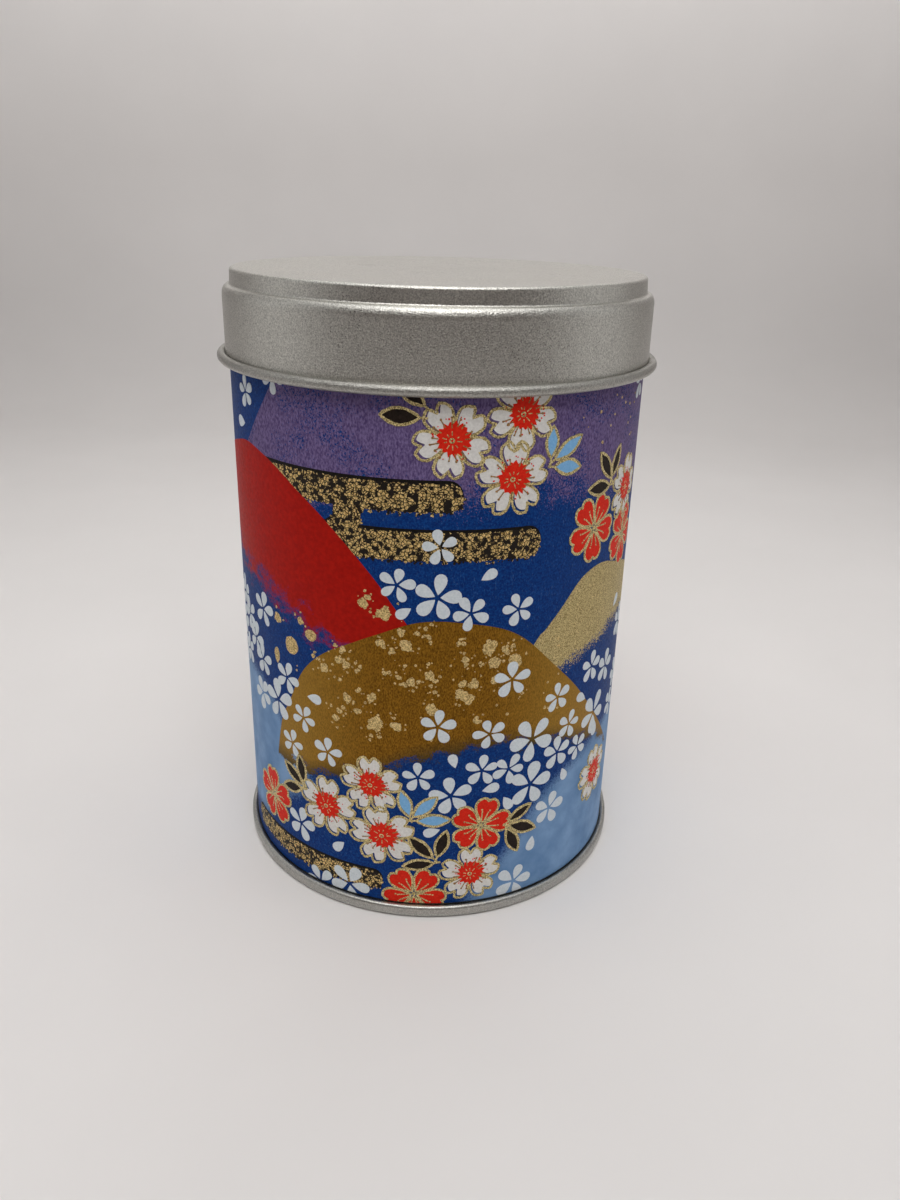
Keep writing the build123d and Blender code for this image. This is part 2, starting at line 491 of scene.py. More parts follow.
def wrapped_slab(name, flat, faces, height, depth, materials, ink=None):
    """Closed slab on the tin, from height mm above the paper's face to depth mm under it.
    It has the second material, if there is one, on all but its face.  Every point of it gets
    the value 'steel' and, for a fading ink, 'ink'."""
    count = len(flat)
    edges = {edge for face in faces for edge in zip(face, face[1:] + face[:1])}
    rim = sorted((a, b) for a, b in edges if (b, a) not in edges)
    hidden = [tuple(i + count for i in reversed(face)) for face in faces]
    hidden += [(a + count, b + count, b, a) for a, b in rim]
    choice = [0] * len(faces) + [len(materials) - 1] * len(hidden)
    places = np.concatenate((wrapped(flat, height), wrapped(flat, -depth))).tolist()
    piece = new_object(name, places, faces + hidden, materials, choice)
    values = {"steel": steel_cover(flat)}
    if ink:
        values["ink"] = ink(flat)
    for key, value in values.items():
        both = np.concatenate((value, value)).astype(np.float32)
        piece.data.attributes.new(key, "FLOAT", "POINT").data.foreach_set("value", both)
    return piece


def printed_layer(name, shapes, height, material, cutters=(), ink=None):
    flat, faces = triangles(shapes, cutters)
    ride_on_tin(wrapped_slab(name, flat, faces, height, SUNK, [material], ink))


# ---- The blue ground ----

STEEL_FIELDS = [
    [(6, 0), (9, 5), (13, 10), (17, 15), (20, 20), (24, 24.5), (29, 27), (34, 29), (40, 31), (48, 32),
     (56, 32.5), (66, 32), (76, 27), (84, 17), (90, 6), (92, -3)],
    [(-76, 34), (-64, 41), (-54, 43.5), (-46, 42.5), (-39.5, 41.5), (-34, 38), (-30, 33), (-26, 28),
     (-24, 24), (-28, 21), (-34, 18), (-37, 13), (-41, 9.5), (-50, 9), (-60, 11), (-70, 18)],
    [(-119, 66), (-108, 70), (-98, 68), (-90, 62), (-96, 55), (-108, 52), (-118, 54)],
    [(92, 96), (104, 99), (118, 97), (124, 90), (112, 86), (98, 88)],
]
STEEL_SOFTNESS = 5.0


def signed_distance(flat, polygon):
    """Distance of each point to the polygon's outline, positive inside."""
    x, y = flat[:, 0], flat[:, 1]
    nearest = np.full(len(flat), 1e9)
    inside = np.zeros(len(flat), bool)
    for (ax, ay), (bx, by) in zip(polygon, polygon[1:] + polygon[:1]):
        dx, dy = bx - ax, by - ay
        t = np.clip(((x - ax) * dx + (y - ay) * dy) / (dx * dx + dy * dy), 0, 1)
        nearest = np.minimum(nearest, np.hypot(x - ax - t * dx, y - ay - t * dy))
        if ay != by:
            inside ^= ((ay > y) != (by > y)) & (x < ax + (y - ay) * dx / dy)
    return np.where(inside, nearest, -nearest)


def steel_cover(flat):
    cover = np.zeros(len(flat))
    for field in STEEL_FIELDS:
        cover = np.maximum(cover, np.clip(0.5 + signed_distance(flat, field) / STEEL_SOFTNESS, 0, 1))
    return cover


PAPER_COLUMNS = 480
PAPER_ROWS = 80


def make_paper():
    """The sheet itself: once round the tube, its far end lapped over its near end."""
    s = np.linspace(-LAP_END, LAP_END, PAPER_COLUMNS + 1)
    z = np.linspace(PAPER_BOTTOM, PAPER_TOP, PAPER_ROWS + 1)
    flat = np.array([(a, b) for b in z for a in s])
    across = PAPER_COLUMNS + 1
    faces = [
        (i, i + 1, i + 1 + across, i + across)
        for row in range(PAPER_ROWS)
        for i in range(row * across, row * across + PAPER_COLUMNS)
    ]
    materials = [ground_material(), bare_paper()]
    paper = wrapped_slab("paper_wrap", flat, faces, 0, PAPER_THICKNESS - GLUE_GAP, materials)
    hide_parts("washi_wrap")
    ride_on_tin(paper)


# ---- Hills ----

# Each hill: its crest from left to right, and the line along which its ink fades out.
PURPLE_CREST = [(-52, 74), (-39.4, 89), (-33.2, 96.5), (-27, 104), (-20, 110), (46, 110), (54, 104),
                (62, 97), (70, 89), (78, 79), (86, 67)]
PURPLE_FADE = [(-52, 72), (-24, 79), (-17, 81.5), (-12, 84.5), (18, 84), (23, 82.5), (30, 81.5),
               (38, 82), (46, 80), (56, 77), (70, 73), (86, 68)]
RED_CREST = [(-92, 46), (-84, 58), (-78, 66), (-70, 75), (-62, 81.5), (-54, 85.3), (-45, 87.8),
             (-40, 88.6), (-35, 87.8), (-30, 86), (-25, 83), (-20, 79.5), (-15, 75), (-10, 69.5),
             (-7, 65.3), (-3.5, 60.5), (2, 52)]
RED_FADE = [(-92, 46), (-80, 54), (-70, 59), (-60, 63), (-50, 66), (-45, 65.5), (-40, 64), (-35, 63),
            (-30, 61.5), (-25, 59.5), (-20, 57), (-15, 53), (2, 48)]
SAND_CREST = [(12, 46), (18.9, 56.9), (21, 59), (24.3, 62.4), (27.7, 66), (30.2, 67.6), (33.5, 68.4),
              (36.8, 68.2), (40.2, 67.2), (49.3, 64.5), (56, 61), (63, 55.5), (70, 49), (78, 40)]
SAND_FADE = [(12, 45), (26, 50.5), (30, 51.5), (34.3, 52.7), (38.5, 53.8), (44, 55), (50, 54.5),
             (58, 51.5), (66, 46.5), (78, 39)]
BROWN_CREST = [(-34, 28), (-32, 36), (-29.3, 41), (-25.3, 48.7), (-20.3, 53.7), (-14, 57.3),
               (-9.8, 59.4), (-4, 61.9), (0.2, 62.6), (4.3, 62.4), (10.2, 61.3), (14.3, 59.7),
               (18.1, 56.9), (23.5, 51.5), (29.3, 45.7), (33.5, 40.9), (40.2, 33.2), (47, 25)]
BROWN_FADE = [(-34, 27.5), (-25, 27), (-18, 29), (-10, 31.5), (-7, 33), (-3, 35), (2, 36.3),
              (8, 37.2), (14, 37.2), (20, 36.5), (26, 35), (32, 32.5), (38, 30.5), (47, 25)]

# On the back of the tin.
RED_BACK_CREST = [(68, 22), (76, 38), (82, 47), (90, 55), (98, 58.5), (106, 57.5), (114, 52), (121, 43),
                  (130, 28)]
RED_BACK_FADE = [(68, 22), (80, 27), (92, 30), (104, 30), (116, 27), (130, 25)]
BROWN_BACK_CREST = [(-126, 58), (-118, 71), (-111, 78.5), (-103, 83.5), (-96, 85.5), (-88, 84.5),
                    (-80, 80), (-73, 73), (-64, 62)]
BROWN_BACK_FADE = [(-126, 56), (-112, 60), (-100, 62), (-88, 61), (-64, 58)]
SAND_BACK_CREST = [(-126, 22), (-117, 35), (-110, 41.5), (-102, 44.5), (-94, 43), (-86, 37), (-78, 27)]
SAND_BACK_FADE = [(-126, 20), (-112, 25), (-100, 27), (-88, 26), (-78, 24)]


def hill_outline(crest, fade, reach):
    """Closed outline from the fade line, lowered by reach, up to the crest."""
    crest = smooth(crest, 8)
    left, right = crest[0][0], crest[-1][0]
    steps = np.arange(left, right, 0.8)
    line = np.interp(steps, *zip(*fade)) - reach
    ridge = np.interp(steps, *zip(*crest))
    below = [(float(s), float(min(z, top - 0.05))) for s, z, top in zip(steps, line, ridge)]
    return below + crest[::-1]


def fade_cover(fades, width):
    """Ink left at each point: 1 above the fade line, 0 below it, over width mm."""
    def cover(flat):
        s, z = flat[:, 0], flat[:, 1]
        lines = [np.interp(s, *zip(*fade), left=1e3, right=1e3) for fade in fades]
        return np.clip(0.5 + (z - np.min(lines, axis=0)) / width, 0, 1)
    return cover


def make_hill(name, height, width, material, *pairs):
    """Hills of one ink, each given as its crest and its fade line."""
    shapes = [(hill_outline(crest, fade, width * 0.6), None) for crest, fade in pairs]
    cover = fade_cover([fade for _, fade in pairs], width)
    printed_layer(name, shapes, height, material, ink=cover)


# ---- Mist bands ----

def rounded_band(left, right, low, high):
    """Long band with half-round ends."""
    middle, radius = (low + high) / 2, (high - low) / 2
    bow = [pi * i / 10 - pi / 2 for i in range(11)]
    ends = [polar((right - radius, middle), radius, t) for t in bow]
    ends += [polar((left + radius, middle), -radius, t) for t in bow]
    return subdivided(ends, 2.0)


MIST_BANDS = [
    rounded_band(-45, 4.6, 82.4, 87.3),
    rounded_band(-24, 18.6, 74.0, 79.0),
    subdivided([(-22, 77), (-12.3, 77), (-12.5, 80.7), (-11, 84), (-17.3, 84), (-17.6, 80)], 2.0),
    rounded_band(-46, -8.8, 5.6, 9.6),
    rounded_band(60, 97, 88.0, 92.6),
    rounded_band(72, 112, 80.2, 84.6),
    subdivided([(76, 83), (86, 83), (85.7, 86.3), (87, 89.5), (79, 89.5), (80, 86.3)], 2.0),
    rounded_band(-112, -78, 8.0, 12.4),
    rounded_band(-98, -62, 15.4, 19.6),
    subdivided([(-95, 11), (-86, 11), (-86.5, 14), (-85, 17), (-93, 17), (-93.4, 14)], 2.0),
]
BAND_SHIFT = 0.55  # the gold dust sits this far below the black it was thrown on


def mist_patches():
    """The gold of the mist bands: ragged, and a little low on the black."""
    lowered = [[(s, z - BAND_SHIFT) for s, z in subdivided(band, 0.4)] for band in MIST_BANDS]
    return whole(ragged(band, 0.16) for band in lowered)


def band_grains():
    """Loose grains of gold along the lower edges and the ends of the mist bands."""
    grains = []
    for band in MIST_BANDS:
        heights = [z for _, z in band]
        middle = (min(heights) + max(heights)) / 2
        for s, z in subdivided(band, 0.5):
            if z < middle + 1 and rng.random() < 0.7:
                spot = (s + rng.uniform(-0.3, 0.3), z - BAND_SHIFT + rng.uniform(-0.5, 0.2))
                grains.append(place(blob(rng.uniform(0.14, 0.34), 6, 0.35), spot))
    return whole(grains)


def flake(centre, radius):
    """Torn gold leaf: a patch of angular grains run together, with crumbs round it."""
    grains = []
    for _ in range(5 + int(radius * 7)):
        spot = polar(centre, radius * 0.72 * sqrt(rng.random()), rng.random() * tau)
        grains.append(place(blob(rng.uniform(0.34, 0.54) * radius + 0.06, 6, 0.4), spot))
    for _ in range(1 + int(radius * 3)):
        spot = polar(centre, radius * rng.uniform(1.1, 2.4) + 0.3, rng.random() * tau)
        grains.append(place(blob(rng.uniform(0.1, 0.3), 6, 0.4), spot))
    return whole(grains)


# ---- Flowers ----

# Small white flowers: s, z, radius, and the turn of one petal in degrees.
SMALL_FLOWERS = [
    (-39.4, 97.3, 2.9, 100), (-30, 101.3, 3.0, 60), (-37, 57.3, 3.6, 80), (-44.6, 53.6, 3.4, 40),
    (-41.4, 49.6, 3.5, 75), (-38.3, 46.3, 3.4, 20), (-29.8, 45.8, 3.3, 70), (-33, 39.8, 4.4, 95),
    (-39.5, 38.5, 3.5, 50), (-25.6, 38.8, 3.0, 60), (-20, 33.3, 3.2, 85), (-29, 32, 3.0, 75),
    (-6.2, 69, 3.2, 75), (1, 76, 3.1, 100), (0.7, 67, 4.3, 80), (6.5, 64, 3.3, 45),
    (15.1, 64, 3.1, 105), (14.6, 50.4, 3.7, 90), (1.2, 42, 3.5, 80), (10.8, 39.9, 3.2, 110),
    (19.6, 37, 4.8, 120), (25, 44.3, 3.2, 95), (34.8, 47.4, 3.4, 85), (41.2, 45, 3.7, 75),
    (28.7, 37.3, 3.1, 70), (37.3, 36.3, 4.6, 55), (-2.2, 31.3, 3.1, 95), (9.6, 32.3, 3.3, 85),
    (14.9, 31.7, 3.3, 60), (26, 32, 3.5, 90), (32, 31, 2.9, 40), (19.8, 27, 4.8, 80),
    (3.9, 27.3, 4.1, 100), (24.9, 19.8, 3.8, 75), (17.3, 5.2, 4.0, 70), (-15.8, 4.6, 4.4, 62),
    (-22.7, 2.4, 3.8, 120), (-27.5, 14.2, 3.8, 80), (46.5, 99.5, 3.2, 90), (48.5, 52, 3.6, 70),
    (49.5, 40, 3.4, 100), (47, 34, 3.2, 60), (-48, 57, 3.4, 95), (-50.5, 50.5, 3.5, 65),
    (-47, 45, 3.3, 30), (-52, 43, 3.0, 80),
]
# Loose petals: s, z, length, and the turn of the pointed end towards the round one.
LOOSE_PETALS = [
    (-42.3, 91.6, 3.4, 180), (-22.7, 43.8, 3.3, 0), (-5, 64, 3.1, 215), (9.4, 70.8, 3.1, 30),
    (4.2, 34.8, 3.0, 105), (32, 41.7, 3.2, 150), (11.5, 28.1, 3.4, 10), (15, 24.2, 3.3, 300),
    (20.9, 13, 3.3, 260), (28.3, 26.3, 3.0, 290), (0.5, 19.3, 3.3, 200), (-18, 12.8, 3.3, 225),
    (38.2, 32.4, 3.6, 275), (44, 58, 3.0, 40), (-53, 62, 3.0, 300),
]
# Cherry blossoms: s, z, radius, turn.
UPPER_WHITE = [(2.5, 93.8, 6.1, 120), (14, 97.7, 5.9, -92), (12.7, 87.2, 6.2, 88)]
RIGHT_WHITE = [(42.5, 81, 6.0, 75)]
LOWER_WHITE = [(-20.7, 21.2, 6.3, 85), (-11.2, 28.5, 5.9, 92), (-9, 17.6, 6.4, 104), (8, 9.2, 5.9, 90)]
FAR_WHITE = [(40, 21, 6.0, 98)]
RIGHT_RED = [(31.2, 76, 6.2, 130), (43.5, 71.8, 6.0, 60)]
LOWER_RED = [(9.9, 20.2, 5.9, 75), (-2.7, 4.8, 6.2, 128)]
LEFT_RED = [(-36.5, 16.5, 6.1, 95)]
# Leaves: s and z of the stem end, turn, length, width.
UPPER_BLUE = [(19.6, 90.2, 88, 5.2, 2.3), (20.4, 89.8, 32, 6.6, 2.4), (20.4, 88.6, -6, 5.8, 2.6)]
LOWER_BLUE = [(-3.6, 22.6, 108, 6.0, 2.4), (-3.0, 22.6, 46, 6.4, 2.5), (-2.4, 21.8, 2, 6.4, 2.6)]
UPPER_DARK = [(-2.6, 97.3, 178, 6.4, 2.7), (-1.9, 99.2, 140, 5.6, 2.3)]
RIGHT_DARK = [(35.6, 84.2, 128, 6.6, 2.4), (35.9, 84.4, 66, 5.8, 2.2), (35.2, 83.0, 178, 6.4, 2.5)]
LEFT_DARK = [(-26.6, 23.6, 148, 6.0, 2.4), (-26.2, 24.2, 100, 6.0, 2.4), (-26.8, 22.6, 195, 5.8, 2.3)]
LOWER_DARK = [(15.2, 18.2, -66, 6.4, 2.4), (15.6, 19.0, -22, 6.6, 2.5), (15.4, 19.8, 30, 5.6, 2.0),
              (1.6, 13.6, 74, 6.2, 2.4), (0.8, 13.4, 135, 6.6, 2.5), (1.0, 12.2, 190, 6.0, 2.3)]
# Gold flakes, then crumbs of gold between them: s, z, radius.
FLAKES = [
    (-12, 65, 1.0), (-11.4, 66.2, 0.6), (-8.3, 63.5, 1.3), (-10.3, 41.5, 1.4), (-6.3, 41.5, 1.0),
    (-9.6, 42.6, 0.9), (5.2, 48.3, 1.2), (6.6, 47.7, 1.2), (9.8, 57.5, 1.4), (11, 54.2, 1.1),
    (15, 54.2, 1.4), (0.2, 45.7, 1.2),
    (7.4, 50.6, 0.9), (5.4, 50.8, 0.7), (8.4, 43, 0.9), (-20.2, 51, 0.9), (-17, 53, 0.8),
    (-15.5, 52.6, 0.7), (-16.4, 55.5, 0.7), (-10.8, 47, 0.9), (-15.5, 46, 0.9), (-13.5, 43.8, 0.8),
    (-4.6, 57.8, 1.1), (-9, 57.8, 0.9), (-3.5, 51, 0.9), (-0.5, 52.2, 1.0), (-17, 43, 0.6),
    (5.7, 55.2, 0.7), (-31.8, 57.3, 0.9), (-25.2, 58.8, 0.7), (13, 56.5, 0.8), (-18, 41.2, 0.7),
]
CRUMBS = [
    (-5.4, 60.4, 0.75), (-2.6, 60.2, 0.5), (-1.2, 61.3, 0.4), (-0.2, 62, 0.35), (-0.6, 59.7, 0.45),
    (-6.9, 56.6, 0.65), (-4.7, 53.9, 0.4), (-0.7, 54.6, 0.35), (-8.5, 52.1, 0.45), (-7.6, 52.5, 0.4),
    (-5.8, 51.7, 0.5), (-4.6, 50.3, 0.5), (-2.3, 51, 0.4), (-0.1, 50.2, 0.4), (0.6, 51.3, 0.45),
    (0.6, 49, 0.4), (-12.8, 52.8, 0.4), (-13.5, 51.8, 0.4), (-13.3, 48, 0.55), (-16.9, 49.3, 0.35),
    (-21.2, 52.3, 0.3), (-22.2, 53.5, 0.35), (-17.8, 56, 0.35), (5.3, 58.3, 0.45), (4.5, 58.6, 0.35),
    (5.5, 56.5, 0.3), (6, 54.3, 0.45), (14.4, 57.1, 0.5), (13.4, 56, 0.5), (11.3, 50.8, 0.85),
    (16.8, 47.4, 0.45), (-16.3, 43.9, 0.45), (-18.9, 43.5, 0.35), (-6.7, 43.3, 0.35),
    (-10.8, 39.1, 0.4), (-9.1, 39.2, 0.3), (22, 43, 0.3),
]
# Smooth drops of gold on the blue at the left: s, z, half width, half height.
DROPS = [(-28, 53, 1.7, 1.8), (-23, 56.5, 1.3, 1.1), (-32.6, 49.5, 0.8, 1.6), (-29.5, 47.6, 0.6, 0.8),
         (-31.8, 57.3, 0.8, 0.7), (-25.6, 58.8, 0.5, 0.7), (-22.6, 52.6, 0.4, 0.4)]
FRONT_REACH = 55.0  # what repeats on the back stays this far from the front's middle


def moved(items, *moves):
    """The same items at each move round and up the paper, without those that reach the front."""
    return [
        (s + across, z + up, *rest)
        for across, up in moves
        for s, z, *rest in items
        if abs(s + across) > FRONT_REACH
    ]


LEFT_DRIFT = SMALL_FLOWERS[2:12]
MIDDLE_DRIFT = SMALL_FLOWERS[12:17]
RIGHT_DRIFT = SMALL_FLOWERS[20:33]

# The back repeats the front's sprays and drifts, further round and up or down.
small_flowers = (
    SMALL_FLOWERS + moved(LEFT_DRIFT, (-38, -12), (140, 30))
    + moved(RIGHT_DRIFT, (44, 18), (-124, 10)) + moved(MIDDLE_DRIFT, (-74, 28), (92, -8))
)
loose_petals = (
    LOOSE_PETALS + moved(LOOSE_PETALS[1:6], (-60, 24)) + moved(LOOSE_PETALS[4:12], (62, 34))
    + moved(LOOSE_PETALS[3:9], (-96, -20)) + moved(LOOSE_PETALS, (122, 22), (101, -36))
)
UPPER_MOVES = [(84, -74), (-98, -50)]
LOWER_MOVE = (92, 52)
RIGHT_MOVE = (-134, 12)
LEFT_MOVE = (-36, 10)
white_blossoms = (
    UPPER_WHITE + RIGHT_WHITE + LOWER_WHITE + FAR_WHITE + moved(LOWER_WHITE, LOWER_MOVE)
    + moved(UPPER_WHITE, *UPPER_MOVES) + moved(RIGHT_WHITE, RIGHT_MOVE)
)
red_blossoms = (
    RIGHT_RED + LOWER_RED + LEFT_RED + moved(LOWER_RED, LOWER_MOVE) + moved(RIGHT_RED, RIGHT_MOVE)
    + moved(LEFT_RED, LEFT_MOVE)
)
blue_leaves = UPPER_BLUE + LOWER_BLUE + moved(LOWER_BLUE, LOWER_MOVE) + moved(UPPER_BLUE, *UPPER_MOVES)
dark_leaves = (
    UPPER_DARK + RIGHT_DARK + LEFT_DARK + LOWER_DARK + moved(LOWER_DARK, LOWER_MOVE)
    + moved(RIGHT_DARK, RIGHT_MOVE) + moved(UPPER_DARK, *UPPER_MOVES) + moved(LEFT_DARK, LEFT_MOVE)
)
flakes = (
    FLAKES + CRUMBS + moved(FLAKES[:28] + CRUMBS, (-92, 22))
    + moved(FLAKES[10:28] + CRUMBS[:8], (100, -8))
)

FIFTH = 360 / 5
MISPRINT = (0.3, 0.26)  # the coloured inks sit this far off the gold outlines
LEAF_MISPRINT = (0.1, 0.1)
OUTLINE = 0.45  # width of the gold outlines of the petals
LEAF_OUTLINE = 0.5
STEM = 0.36  # width of the leaves' stems
EYE_RAYS = 17  # of a white blossom, like the next three
EYE_DOTS = 16
STAMENS = 15
EYE_MARKS = 9


def five_petals(outline, centre, turn, size, shift=(0.0, 0.0)):
    return [place(outline, centre, turn + k * FIFTH, size, shift) for k in range(5)]


def small_flower_shapes():
    petals = []
    for s, z, radius, turn in small_flowers:
        for k in range(5):
            petal = drop_petal(rng.uniform(0.25, 0.3), 0.12)
            size = radius * rng.uniform(0.93, 1.04)
            petals.append(place(petal, (s, z), turn + k * FIFTH + rng.uniform(-5, 5), size))
    for s, z, length, turn in loose_petals:
        base = place([(-length / 2, 0)], (s, z), turn)[0]
        petals.append(place(drop_petal(0.31, 0.0), base, turn, length))
    return whole(petals)


def ribbon(outline, width):
    """A ragged line of that width along a closed outline, as (outline, hole)."""
    rough = width * 0.13
    return (ragged(inset(outline, -width / 2), rough), ragged(inset(outline, width / 2), rough))


def blossom_gold(centre, radius, turn, half):
    """Outlines of the petals in gold."""
    petal = blossom_petal(half)
    return [ribbon(outline, OUTLINE) for outline in five_petals(petal, centre, turn, radius)]


def blossom_fill(centre, radius, turn, half, shift):
    petal = inset(blossom_petal(half), 0.02)
    return whole(five_petals(petal, centre, turn, radius * 0.97, shift))


def jagged_eye(centre, radius):
    """Red eye of a white blossom: a disc with ragged rays and loose dots round it."""
    rim = []
    for k in range(2 * EYE_RAYS):
        reach = radius * (rng.uniform(0.44, 0.53) if k % 2 else rng.uniform(0.36, 0.42))
        rim.append(polar((0, 0), reach, pi * k / EYE_RAYS))
    eye = [place(rim, centre, rng.uniform(0, 20), 1.0, MISPRINT)]
    for _ in range(EYE_DOTS):
        turn = rng.random() * tau
        spot = polar(centre, radius * rng.uniform(0.51, 0.6), turn)
        eye.append(place(blob(rng.uniform(0.1, 0.18), 6, 0.2), spot, 0, 1, MISPRINT))
    return whole(eye)


def stamens(centre, radius):
    """Stamens of a white blossom: dotted rays round its eye."""
    rays = []
    for k in range(STAMENS):
        turn = 360 / STAMENS * k + rng.uniform(-7, 7)
        inner, outer = rng.uniform(0.32, 0.4), rng.uniform(0.5, 0.64)
        rays.append(place(stroke((inner, 0), (outer, 0), 0.2 / radius), centre, turn, radius))
        tip = place([(outer, 0)], centre, turn, radius)[0]
        rays.append(place(blob(rng.uniform(0.16, 0.26), 6, 0.2), tip))
    return whole(rays)


def eye_marks(centre, radius):
    """Gold ring in the middle of a red eye, and short strokes round it."""
    ring = (place(oval(0.46, 0.46), centre), place(oval(0.2, 0.2), centre))
    marks = []
    for k in range(EYE_MARKS):
        turn = 360 / EYE_MARKS * k + rng.uniform(-12, 12)
        inner, outer = rng.uniform(0.12, 0.16), rng.uniform(0.2, 0.28)
        marks.append(place(stroke((inner, 0), (outer, 0), 0.16 / radius), centre, turn, radius))
    return [ring] + whole(marks)


def red_strokes(centre, radius, turn):
    """Paired gold strokes on each petal of a red blossom, and its centre."""
    strokes = [place(blob(0.4, 9, 0.15), centre)]
    for k in range(5):
        for side in (-1, 1):
            pair = stroke((0.18, side * 0.05), (0.52, side * 0.12), 0.24 / radius)
            strokes.append(place(pair, centre, turn + k * FIFTH + rng.uniform(-3, 3), radius))
            dot = place([(0.57, side * 0.14)], centre, turn + k * FIFTH, radius)[0]
            strokes.append(place(blob(0.19, 7, 0.2), dot))
    return whole(strokes)


def leaf_shapes(leaves):
    """Fills, and gold outlines with stems, of leaves."""
    fills, outlines = [], []
    for s, z, turn, length, width in leaves:
        shape = place(leaf(length, width), (s, z), turn)
        fills.append((place(inset(shape, 0.12), LEAF_MISPRINT), None))
        outlines.append(ribbon(shape, LEAF_OUTLINE))
        outlines.append((place(stroke((-1.3, 0), (0.3, 0), STEM), (s, z), turn), None))
    return fills, outlines


def gold_specks():
    """Loose gold dust: over the two brown hills, and a little in the purple one."""
    specks = []
    areas = [(-28, 26, 38, 60, 45), (-122, -62, 58, 84, 40), (26, 44, 90, 99, 16)]
    for left, right, low, high, count in areas:
        for _ in range(count):
            spot = (rng.uniform(left, right), rng.uniform(low, high))
            specks.append(place(blob(rng.uniform(0.12, 0.32), 6, 0.3), spot))
    return whole(specks)


def make_print():
    """Every printed layer, from the hills up to the gold stamens."""
    red_hill = hill_outline(RED_CREST, RED_FADE, 0)
    make_hill("print_purple_hill", 0.015, 10.0,
              fading_ink("purple_ink", srgb(78, 62, 106), srgb(124, 107, 152), 0.3, (1, 1, 2), worn=0.45),
              (PURPLE_CREST, PURPLE_FADE))
    make_hill("print_red_hill", 0.03, 14.0,
              fading_ink("red_ink", srgb(158, 14, 4), srgb(180, 22, 8), 0.8, softness=0.3, smear=0.7),
              (RED_CREST, RED_FADE), (RED_BACK_CREST, RED_BACK_FADE))
    make_hill("print_sand_hill", 0.03, 7.0,
              fading_ink("sand_gold_ink", srgb(124, 106, 62), srgb(224, 204, 148), 0.22, smear=0.3,
                         metal=0.3),
              (SAND_CREST, SAND_FADE), (SAND_BACK_CREST, SAND_BACK_FADE))
    make_hill("print_brown_hill", 0.045, 7.5,
              fading_ink("brown_gold_ink", srgb(98, 64, 8), srgb(156, 110, 32), 0.22, (1, 1, 2),
                         softness=0.15, smear=0.65, metal=0.5, thin=srgb(60, 56, 34),
                         # sides: a painted sheen, lighter gold towards the tin's left and right sides.
                         sides=srgb(188, 150, 64)),
              (BROWN_CREST, BROWN_FADE), (BROWN_BACK_CREST, BROWN_BACK_FADE))

    blue_fills, blue_lines = leaf_shapes(blue_leaves)
    dark_fills, dark_lines = leaf_shapes(dark_leaves)
    gold = blue_lines + dark_lines
    white, red, eyes, rays, details = [], [], [], [], []
    for s, z, radius, turn in white_blossoms:
        white += blossom_fill((s, z), radius, turn, NOTCHED_HALF, MISPRINT)
        gold += blossom_gold((s, z), radius, turn, NOTCHED_HALF)
        eyes += jagged_eye((s, z), radius)
        rays += stamens((s, z), radius)
        details += eye_marks((s, z), radius)
    for s, z, radius, turn in red_blossoms:
        red += blossom_fill((s, z), radius, turn, ROUND_HALF, (0.0, 0.0))
        gold += blossom_gold((s, z), radius, turn, ROUND_HALF)
        details += red_strokes((s, z), radius, turn)
    torn = [shape for s, z, radius in flakes for shape in flake((s, z), radius)]
    drops = [(place(ragged(oval(w, h), 0.08), (s, z)), None) for s, z, w, h in DROPS]
    vermilion = flat_ink("vermilion_ink", srgb(212, 32, 16), srgb(232, 48, 28))
    line_gold = gold_ink("line_gold", srgb(112, 94, 44), srgb(246, 226, 164), 0.22, 0.3)

    printed_layer("print_black", whole(MIST_BANDS), 0.03,
                  flat_ink("black_ink", srgb(12, 11, 10), srgb(34, 30, 26)), cutters=[red_hill])
    printed_layer("print_gold_mist", mist_patches() + band_grains(), 0.05, mist_gold(),
                  cutters=[red_hill])
    layers = [
        ("print_gold_flakes", torn + drops + gold_specks(), 0.06,
         gold_ink("flake_gold", srgb(150, 122, 64), srgb(238, 210, 146), 0.3, 0.3)),
        ("print_small_flowers", small_flower_shapes(), 0.075,
         flat_ink("cool_white_ink", srgb(206, 216, 222), srgb(226, 232, 236))),
        ("print_dark_leaves", dark_fills, 0.08,
         flat_ink("umber_ink", srgb(28, 22, 18), srgb(48, 38, 32))),
        ("print_blue_leaves", blue_fills, 0.085,
         flat_ink("pale_blue_ink", srgb(118, 174, 222), srgb(140, 192, 234))),
        ("print_white_blossoms", white, 0.09,
         flat_ink("warm_white_ink", srgb(216, 214, 210), srgb(236, 234, 230))),
        ("print_red_blossoms", red, 0.095, vermilion),
        ("print_gold_lines", gold, 0.11, line_gold),
        ("print_red_eyes", eyes, 0.12, vermilion),
        ("print_eye_marks", details, 0.13, line_gold),
        ("print_stamens", rays, 0.13,
         gold_ink("stamen_gold", srgb(104, 72, 34), srgb(186, 146, 88), 0.25, 0.25)),
    ]
    for name, shapes, height, ink in layers:
        printed_layer(name, shapes, height, ink)


# ---- Tinplate parts ----

# The outer lid, in millimetres.
LID_GAUGE = 0.25
LID_SEGMENTS = 192
BEAD_RADIUS = 0.9  # of the rolled lower edge
BEAD_SWEEP = 305  # degrees that the edge is rolled round
CROWN_INSET = 2.96  # from the widest radius in to the raised top
CROWN_LEAN = 0.15  # the raised top's side leans in this far
SHOULDER_DEPTH = 2.9  # from the top down to the shoulder
SHOULDER_BEND = 1.02  # the shoulder's round, measured across
SHOULDER_DROP = 1.8  # the same round, measured down the wall
BENDS_OUTSIDE = [0.6, 0.35, SHOULDER_BEND]  # round the top's edge, its foot and the shoulder
BENDS_INSIDE = [0.3, 0.6, 0.75]


